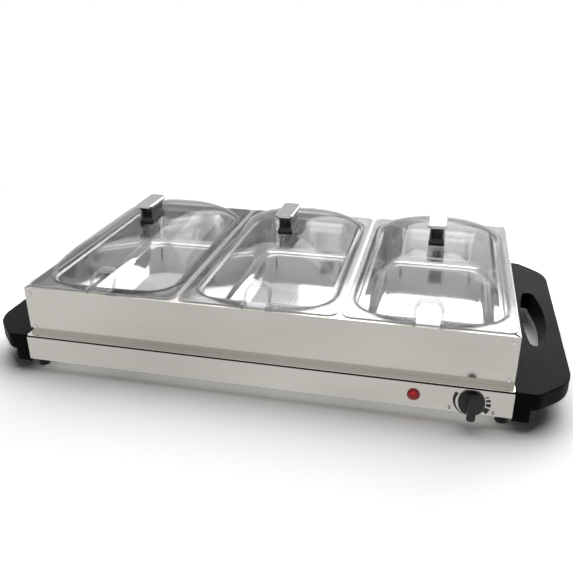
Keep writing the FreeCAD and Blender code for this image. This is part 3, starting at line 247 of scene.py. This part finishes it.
def clear_glass(name, colour, ior, roughness, through, glow, glow_strength):
    """Solid clear glass or plastic with a colour of its own, such as a lens or a lit lamp."""
    material = new_material(name)
    rough = add(material, "ShaderNodeMapRange", Value=pattern(material, across_mm=6.0),
                **NOISE_SPAN, To_Min=roughness[0], To_Max=roughness[1])
    shader = add(material, "ShaderNodeBsdfPrincipled", Base_Color=linear(colour), IOR=ior,
                 Transmission_Weight=through, Roughness=rough, Emission_Color=linear(glow),
                 Emission_Strength=glow_strength)
    return show(material, shader)


class WarmerSizes(bpy.types.PropertyGroup):
    """Sizes of the fine detail that a user may change."""
    scale_gap: FloatProperty(
        name="Scale gap", description="Space between the knob's edge and the printed scale",
        default=2.3 * MM, min=0, unit="LENGTH")
    print_depth: FloatProperty(
        name="Print thickness", description="How far the printed marks stand off the panel",
        default=0.05 * MM, min=0.01 * MM, unit="LENGTH")
    lip_proud: FloatProperty(
        name="Gasket lip", description="How far the gasket's lip stands out past the hot plate",
        default=0.45 * MM, min=0.1 * MM, unit="LENGTH")
    number_height: FloatProperty(
        name="Number height", description="Height of the printed numbers",
        default=6.0 * MM, unit="LENGTH")
    floor_reach: FloatProperty(
        name="Floor reach", description="Half the width of the floor",
        default=40.0, unit="LENGTH")


class WarmerColours(bpy.types.PropertyGroup):
    """Colours that a user may change."""
    floor: FloatVectorProperty(
        name="Floor", description="Colour of the floor", subtype="COLOR", size=4,
        default=linear("d2d2d2"), min=0, max=1)


def dress(material, *node_names):
    """Gives one material to these frame nodes."""
    for name in node_names:
        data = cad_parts[name].data
        data.materials.clear()
        data.materials.append(material)


def on_each(stem):
    """The names of the left, middle and right node of a kind."""
    return [stem + name for name in PAN_NAMES]


class WARMER_OT_sheet_metal(bpy.types.Operator):
    """Brushed and pressed stainless steel, galvanised sheet and fixings"""
    bl_idname = "warmer.sheet_metal"
    bl_label = "Finish the sheet metal"

    def execute(self, context):
        # Brushed panels: the grain runs along each panel and draws its reflections out.
        dress(brushed_stainless("brushed_stainless_lengthwise", "X"), "base_front_panel",
              "base_rear_panel", "frame_front_panel", "frame_rear_panel")
        dress(brushed_stainless("brushed_stainless_crosswise", "Y"), "base_end_plate_left",
              "base_end_plate_right", "frame_side_panel_left", "frame_side_panel_right")
        # Hot plate: the same sheet with a finer brush, so it is paler and mirrors more sharply.
        dress(brushed_stainless("brushed_stainless_plate", "X", "d2cfca", "e2dfda", (0.05, 0.1)),
              "hot_plate")
        # Pressed and polished pans: bright, with soft long draw marks and a near mirror.
        pressed = brushed_stainless(
            "pressed_stainless_bright", "Y", "c6c6c5", "d4d4d3", (0.05, 0.09), grain_mm=2.5,
            length_mm=120.0, edge_mm=0.3, bump_mm=0.0005)
        dress(pressed, *on_each("pan_"), "frame_crossbar_left", "frame_crossbar_right")
        # Galvanised sheet: cool grey with a soft spangle.
        dress(plain_metal("galvanised_sheet", "868a8e", "a3a7aa", (0.35, 0.5), 7.0),
              "bottom_cover", "element_clamp_bars", "thermal_cutoff_clip")
        # Zinc-plated fixings: pale grey and slightly mottled.
        dress(plain_metal("zinc_plated_steel", "9b9da0", "b6b8ba", (0.25, 0.4), 1.5),
              "foot_screws", "bottom_cover_screws", "element_clamp_studs", "element_clamp_nuts",
              "thermal_cutoff", "thermostat_nut", "thermostat_shaft", "handle_screws",
              *on_each("lid_grip_screw_"))
        # Bright drawn rivets: small domes that catch the light.
        dress(plain_metal("drawn_steel_rivet", "c2c0bc", "d2d0cc", (0.12, 0.2), 1.0),
              "frame_rivets")
        # Mill-finish aluminium: pale and faintly rolled.
        dress(plain_metal("mill_aluminium", "bcbdbf", "cdced0", (0.3, 0.45), 5.0),
              "heat_spreader")
        # Sheathed element after heating: dull grey with a bronze tint.
        dress(plain_metal("oxidised_sheath", "6b6761", "85807a", (0.45, 0.6), 4.0),
              "heating_element")
        # Polished stainless grip plates: a near mirror with the faint short marks of the mop.
        plate = brushed_stainless("polished_grip_plate", "Y", "b0b0b0", "c0c0bf", (0.06, 0.1),
                                  grain_mm=0.7, length_mm=20.0, edge_mm=0.5)
        dress(plate, *on_each("lid_grip_plate_"))
        return {"FINISHED"}


class WARMER_OT_plastics(bpy.types.Operator):
    """Black handles, knob and grips, clear lids, red lens, rubber and insulation"""
    bl_idname = "warmer.plastics"
    bl_label = "Finish the plastics and rubber"

    def execute(self, context):
        # ABS handles: satin black with a fine spark-eroded texture.
        dress(moulded_plastic("black_abs_textured", "151514", "1b1b1a", (0.42, 0.5), 1.1, 0.05,
                              edge_mm=0.9, gloss=0.03), "handle_left", "handle_right")
        # Phenolic knob and nylon gland: deep black with a satin sheen.
        dress(moulded_plastic("black_phenolic_satin", "0e0e0e", "121212", (0.25, 0.33), 0.9,
                              0.015, gloss=0.4), "control_knob", "mains_gland")
        # Polished phenolic grips: black with sharp highlights.
        dress(moulded_plastic("black_phenolic_polished", "0a0a0a", "0e0e0e", (0.08, 0.14), 6.0,
                              0.01), *on_each("lid_grip_"))
        # Styrene acrylonitrile lids: clear, with painted shade where they slope and painted
        # highlights on their edges.
        lid = clear_plastic("clear_san_lid", face="ffffff", slant_shade_colour="555b60",
                            roughness=(0.02, 0.05), least_shine=0.012, most_shine=0.8,
                            edge_mm=1.6, edge_highlight_share=0.85)
        dress(lid, *on_each("lid_"))
        # Polycarbonate lens: clear red with a faint painted glow of its own.
        dress(clear_glass("red_polycarbonate_lens", "a80a12", ior=1.4, roughness=(0.1, 0.16),
                          through=0.35, glow="d0101a", glow_strength=0.1), "indicator_lens")
        # Rubber feet and gasket: dark and matt, with a dusty grain.
        dress(moulded_plastic("black_rubber", "101010", "181817", (0.6, 0.75), 0.8, 0.04,
                              gloss=0.2), "rubber_feet", "plate_gasket")
        # White thermoset and nylon inside the base: ivory and matt.
        dress(moulded_plastic("ivory_thermoset", "d8d4c8", "e4e0d5", (0.45, 0.55), 1.2, 0.03),
              "thermostat", "terminal_block", "indicator_holder")
        # Unglazed steatite bushes: chalky white.
        dress(moulded_plastic("white_steatite", "dcd8cd", "e9e6dd", (0.65, 0.8), 0.7, 0.03),
              "element_terminals")
        # Mineral wool board: straw-coloured fibres pressed into a rough flat face.
        dress(moulded_plastic("mineral_wool_board", "a89566", "c6b584", (0.85, 0.95), 2.0, 0.6),
              "insulation_pad")
        # Woven glass sleeving: off-white and matt, with a fine uneven weave.
        dress(moulded_plastic("woven_glass_sleeve", "cfcabb", "e2decf", (0.6, 0.75), 0.6, 0.1),
              "wiring")
        # Soda glass of the neon lamp: clear with a warm glow from its gas.
        dress(clear_glass("neon_lamp_glass", "ffd9b8", ior=1.52, roughness=(0.0, 0.02),
                          through=0.85, glow="ff6a28", glow_strength=1.5), "neon_lamp")
        return {"FINISHED"}


def new_piece(name, shape, body, material):
    """Turns a bmesh into a piece that rides on a body."""
    data = bpy.data.meshes.new(name)
    bmesh.ops.recalc_face_normals(shape, faces=shape.faces)
    shape.to_mesh(data)
    shape.free()
    data.materials.append(material)
    made = bpy.data.objects.new(name, data)
    bpy.context.scene.collection.objects.link(made)
    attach(made, body)


def thicken(shape, by):
    """Gives a flat shape a thickness, by a vector."""
    grown = bmesh.ops.extrude_face_region(shape, geom=shape.faces[:])["geom"]
    far_side = [v for v in grown if isinstance(v, bmesh.types.BMVert)]
    bmesh.ops.translate(shape, vec=by, verts=far_side)
    # The new edges and faces come in no fixed order, so they are sorted by their corners.
    shape.verts.index_update()
    count = len(shape.verts)

    def order(part):
        corners = sorted(v.index for v in part.verts)
        return sum(corner * count ** power for power, corner in enumerate(corners))

    shape.edges.sort(key=order)
    shape.faces.sort(key=order)


class WARMER_OT_seal_lip(bpy.types.Operator):
    """The gasket's black lip, seen as a dark line between the hot plate and the base: partly the
    gasket and partly painted shade of the gap
    """
    bl_idname = "warmer.seal_lip"
    bl_label = "Add the gasket's lip"

    # How far the lip laps over the base's edge and the hot plate's edge.
    LAP_BELOW = 0.1 * MM
    LAP_ABOVE = 0.7 * MM
    # How much of the lip's depth its rounding takes.
    ROUNDED_SHARE = 0.45

    def execute(self, context):
        low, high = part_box("hot_plate")
        gap_low, gap_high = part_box("plate_gasket")
        proud = context.scene.warmer_sizes.lip_proud
        middle_x = (low.x + high.x) / 2
        bottom = gap_low.z - self.LAP_BELOW
        tall = gap_high.z + self.LAP_ABOVE - bottom
        # The lip stands proud of the hot plate, so its black draws the line under the plate:
        # partly the real gasket and partly painted shade of the gap there.
        shape = bmesh.new()
        for face, outwards in ((low.y, -1), (high.y, 1)):
            strip = bmesh.ops.create_grid(shape, x_segments=1, y_segments=1, size=0.5)["verts"]
            bmesh.ops.scale(shape, vec=(high.x - low.x, proud, 1), verts=strip)
            bmesh.ops.translate(shape, vec=(middle_x, face + outwards * proud / 2, bottom),
                                verts=strip)
        thicken(shape, (0, 0, tall))
        # The long edges of each strip that face away from the tray are rounded.
        outer = [e for e in shape.edges
                 if abs(e.verts[0].co.x - e.verts[1].co.x) > MM
                 and not low.y - proud / 2 < e.verts[0].co.y < high.y + proud / 2]
        bmesh.ops.bevel(shape, geom=outer, offset=proud * self.ROUNDED_SHARE,
                        offset_type="OFFSET", segments=2, profile=0.5, affect="EDGES",
                        material=-1)
        rubber = bpy.data.materials["black_rubber"]
        new_piece("plate_gasket_lip_and_gap_shade", shape, "base", rubber)
        return {"FINISHED"}


def panel_face():
    """The level in Y of the base panel's outer face, and the knob's centre in X and Z."""
    low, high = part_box("thermostat_shaft")
    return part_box("base_front_panel")[0].y, (low.x + high.x) / 2, (low.z + high.z) / 2


class WARMER_OT_knob_scale(bpy.types.Operator):
    """The printed heat scale round the control knob"""
    bl_idname = "warmer.knob_scale"
    bl_label = "Print the heat scale"

    # Angles are in degrees, clockwise from the top of the knob as the user sees it.
    TAPER = (-154.0, -56.0)
    TAPER_WIDTHS = (0.5 * MM, 4.0 * MM)
    TAPER_STEPS = 24
    # Each block: where it starts, where it ends and how wide it is.
    BLOCKS = ((60.0, 65.0, 4.2 * MM), (72.0, 82.0, 4.7 * MM),
              (88.0, 101.0, 5.0 * MM), (107.0, 128.0, 5.3 * MM))
    BLOCKS_NEARER = 1.6 * MM
    BLOCK_STEPS = 4
    # Each number: how far right of the knob's centre it is, and how far up.
    NUMBERS = (("0", -22.0 * MM, -9.5 * MM), ("5", 22.8 * MM, -10.3 * MM))
    HEAVIER = 0.12 * MM
    MERGE_WITHIN = 0.001 * MM

    def execute(self, context):
        sizes = context.scene.warmer_sizes
        # Screen-printed enamel ink: flat black with a faint sheen.
        ink = moulded_plastic("black_screen_ink", "151413", "1c1b1a", (0.4, 0.5), 3.0, 0.01,
                              edge_mm=0.05)
        low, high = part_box("control_knob")
        inner = (high.x - low.x) / 2 + sizes.scale_gap
        self.mark("scale_taper", inner, *self.TAPER, self.TAPER_WIDTHS, self.TAPER_STEPS, ink,
                  sizes)
        for index, (start, end, width) in enumerate(self.BLOCKS):
            self.mark("scale_block_%d" % (index + 1), inner - self.BLOCKS_NEARER, start, end,
                      (width, width), self.BLOCK_STEPS, ink, sizes)
        for text, right, up in self.NUMBERS:
            self.number(text, right, up, ink, sizes)
        return {"FINISHED"}

    def mark(self, name, inner, start, end, widths, steps, ink, sizes):
        """A band of ink round the knob. Its width may grow from one end to the other."""
        face, x, z = panel_face()
        shape = bmesh.new()
        # The band is spun one millimetre wide, and then each point moves out to its own width.
        turned = math.radians(start)
        ends = [shape.verts.new((reach * math.sin(turned), 0, reach * math.cos(turned)))
                for reach in (inner, inner + MM)]
        edge = shape.edges.new(ends)
        bmesh.ops.spin(shape, geom=[edge, *ends], cent=(0, 0, 0), axis=(0, 1, 0), steps=steps,
                       angle=math.radians(end - start))
        for vert in shape.verts:
            reach = math.hypot(vert.co.x, vert.co.z)
            share = (math.degrees(math.atan2(vert.co.x, vert.co.z)) - start) / (end - start)
            width = widths[0] + (widths[1] - widths[0]) * share
            vert.co *= (inner + (reach - inner) * width / MM) / reach
        thicken(shape, (0, -sizes.print_depth, 0))
        bmesh.ops.translate(shape, vec=(x, face, z), verts=shape.verts)
        new_piece(name, shape, "base", ink)

    def number(self, text, right, up, ink, sizes):
        """A plain number beside the scale."""
        face, x, z = panel_face()
        curve = bpy.data.curves.new("number", "FONT")
        curve.body = text
        curve.size = sizes.number_height
        curve.align_x = "CENTER"
        curve.align_y = "CENTER"
        curve.extrude = sizes.print_depth / 2
        curve.offset = self.HEAVIER
        drawn = bpy.data.objects.new("number", curve)
        bpy.context.scene.collection.objects.link(drawn)
        bpy.context.view_layer.update()
        ready = drawn.evaluated_get(bpy.context.evaluated_depsgraph_get())
        flat = bpy.data.meshes.new_from_object(ready)
        bpy.data.objects.remove(drawn)
        shape = bmesh.new()
        shape.from_mesh(flat)
        bmesh.ops.remove_doubles(shape, verts=shape.verts, dist=self.MERGE_WITHIN)
        upright = Matrix.Rotation(math.pi / 2, 3, "X")
        bmesh.ops.rotate(shape, cent=(0, 0, 0), matrix=upright, verts=shape.verts)
        place = (x + right, face - sizes.print_depth / 2, z + up)
        bmesh.ops.translate(shape, vec=place, verts=shape.verts)
        new_piece("scale_number_" + text, shape, "base", ink)


class WARMER_OT_stage(bpy.types.Operator):
    """Pale floor, soft lamps and the camera at the photograph's angle"""
    bl_idname = "warmer.stage"
    bl_label = "Set the stage"

    # The camera's place in millimetres, its turn, tilt and roll in degrees, and its lens.
    CAMERA_AT = (193.8, -804.5, 437.3)
    CAMERA_TURNS = (-13.63, 24.51, -0.464)
    LENS = 43.22
    SENSOR = 36.0
    # The floor turns plain white between these distances from the tray's middle.
    WHITE_FROM = 0.5
    WHITE_AT = 0.9
    # How white the paper looks to the camera, so that the open floor is plain white.
    PAPER_WHITE = 1.75
    # How much of the floor that a shiny piece mirrors is plain white.
    MIRRORED_WHITE = 0.88
    # The sky's strength as a light and as a background, and what mirrors take off that.
    SKY_AS_LIGHT = 0.03
    SKY_SEEN = 1.0
    SKY_IN_MIRRORS = -0.2
    # Each lamp's name, place, aim, width and height in metres, and power in watts.
    LAMPS = (("overhead", (0.0, 0.9, 1.6), (0, 0, 0), 3.4, 2.4, 42.0),
             ("behind", (0.55, 2.3, 1.15), (0.1, 0, 0), 2.2, 1.5, 14.0))

    def execute(self, context):
        scene = context.scene
        self.add_floor(scene)
        self.add_world(scene)
        for lamp in self.LAMPS:
            self.add_lamp(scene, *lamp)
        self.add_camera(scene)
        scene.view_settings.view_transform = "Standard"
        return {"FINISHED"}

    def add_floor(self, scene):
        """A wide floor that keeps the tray's shadow and is plain white farther out."""
        shape = bmesh.new()
        bmesh.ops.create_grid(shape, x_segments=1, y_segments=1,
                              size=scene.warmer_sizes.floor_reach)
        data = bpy.data.meshes.new("floor")
        shape.to_mesh(data)
        shape.free()
        floor = bpy.data.objects.new("floor", data)
        scene.collection.objects.link(floor)
        # Pale studio sweep: matt white paper that keeps the soft shadow of the tray.
        material = new_material("white_paper_sweep")
        rays = add(material, "ShaderNodeLightPath", out=None)
        colours = {0: rays["Is Camera Ray"], 6: tuple(scene.warmer_colours.floor),
                   7: (*(self.PAPER_WHITE,) * 3, 1.0)}
        colour = add(material, "ShaderNodeMix", colours, out=2, data_type="RGBA")
        paper = add(material, "ShaderNodeBsdfDiffuse", Color=colour)
        where = add(material, "ShaderNodeTexCoord", out="Object")
        away = add(material, "ShaderNodeVectorMath", {0: where}, out="Value", operation="LENGTH")
        far = add(material, "ShaderNodeMapRange", Value=away, From_Min=self.WHITE_FROM,
                  From_Max=self.WHITE_AT)
        mirrored = add(material, "ShaderNodeMath",
                       {0: rays["Is Glossy Ray"], 1: self.MIRRORED_WHITE}, operation="MULTIPLY")
        plain = add(material, "ShaderNodeMath", {0: far, 1: mirrored}, operation="MAXIMUM")
        plain = add(material, "ShaderNodeMath", {0: plain, 1: self.seen_rays(material, rays)},
                    operation="MULTIPLY")
        glow = add(material, "ShaderNodeEmission", Color=linear("ffffff"), Strength=1.0)
        both = add(material, "ShaderNodeMixShader", {0: plain, 1: paper, 2: glow})
        data.materials.append(show(material, both))

    def seen_rays(self, owner, rays):
        """1 for rays that show the background: straight, through clear and off shiny pieces."""
        seen = rays["Is Camera Ray"]
        for kind in ("Is Glossy Ray", "Is Transmission Ray"):
            seen = add(owner, "ShaderNodeMath", {0: seen, 1: rays[kind]}, operation="MAXIMUM")
        return seen

    def add_world(self, scene):
        """A sky that is white where it is seen and gives little light of its own."""
        world = bpy.data.worlds.new("studio")
        world.use_nodes = True
        world.node_tree.nodes.clear()
        rays = add(world, "ShaderNodeLightPath", out=None)
        strength = add(world, "ShaderNodeMapRange", Value=self.seen_rays(world, rays),
                       To_Min=self.SKY_AS_LIGHT, To_Max=self.SKY_SEEN)
        strength = add(world, "ShaderNodeMath",
                       {0: rays["Is Glossy Ray"], 1: self.SKY_IN_MIRRORS, 2: strength},
                       operation="MULTIPLY_ADD")
        sky = add(world, "ShaderNodeBackground", Color=linear("ffffff"), Strength=strength)
        add(world, "ShaderNodeOutputWorld", out=None, Surface=sky)
        scene.world = world

    def add_lamp(self, scene, name, place, aim, width, height, power):
        """A soft oval lamp that the camera does not see."""
        lamp = bpy.data.lights.new(name, "AREA")
        lamp.shape = "ELLIPSE"
        lamp.size = width
        lamp.size_y = height
        lamp.energy = power
        made = bpy.data.objects.new(name, lamp)
        made.location = place
        made.rotation_euler = (Vector(aim) - Vector(place)).to_track_quat("-Z", "Y").to_euler()
        made.visible_camera = False
        scene.collection.objects.link(made)

    def add_camera(self, scene):
        """The camera, turned from straight ahead, tilted down and rolled."""
        turn, tilt, roll = (math.radians(a) for a in self.CAMERA_TURNS)
        ahead = Vector((math.sin(turn) * math.cos(tilt), math.cos(turn) * math.cos(tilt),
                        -math.sin(tilt)))
        level = Vector((math.cos(turn), -math.sin(turn), 0))
        above = level.cross(ahead)
        right = level * math.cos(roll) + above * math.sin(roll)
        up = above * math.cos(roll) - level * math.sin(roll)
        camera = bpy.data.cameras.new("camera")
        camera.sensor_width = self.SENSOR
        camera.lens = self.LENS
        made = bpy.data.objects.new("camera", camera)
        turned = Matrix((right, up, -ahead)).transposed().to_4x4()
        made.matrix_world = Matrix.Translation(Vector(self.CAMERA_AT) * MM) @ turned
        scene.collection.objects.link(made)
        scene.camera = made


STEPS = ("sheet_metal", "plastics", "seal_lip", "knob_scale", "stage")
OPERATORS = (WARMER_OT_sheet_metal, WARMER_OT_plastics, WARMER_OT_seal_lip,
             WARMER_OT_knob_scale, WARMER_OT_stage)


class WARMER_PT_panel(bpy.types.Panel):
    """The steps and settings in the sidebar"""
    bl_idname = "WARMER_PT_panel"
    bl_label = "Food warmer"
    bl_space_type = "VIEW_3D"
    bl_region_type = "UI"
    bl_category = "Warmer"

    def draw(self, context):
        for step in STEPS:
            self.layout.operator("warmer." + step)
        for group in (context.scene.warmer_sizes, context.scene.warmer_colours):
            for name in group.__annotations__:
                self.layout.prop(group, name)


CLASSES = (WarmerSizes, WarmerColours, *OPERATORS, WARMER_PT_panel)


def register():
    for each in CLASSES:
        bpy.utils.register_class(each)
    bpy.types.Scene.warmer_sizes = PointerProperty(type=WarmerSizes)
    bpy.types.Scene.warmer_colours = PointerProperty(type=WarmerColours)


def unregister():
    del bpy.types.Scene.warmer_colours
    del bpy.types.Scene.warmer_sizes
    for each in reversed(CLASSES):
        bpy.utils.unregister_class(each)


def main():
    register()
    for step in STEPS:
        getattr(bpy.ops.warmer, step)()


if __name__ == "__main__":
    main()
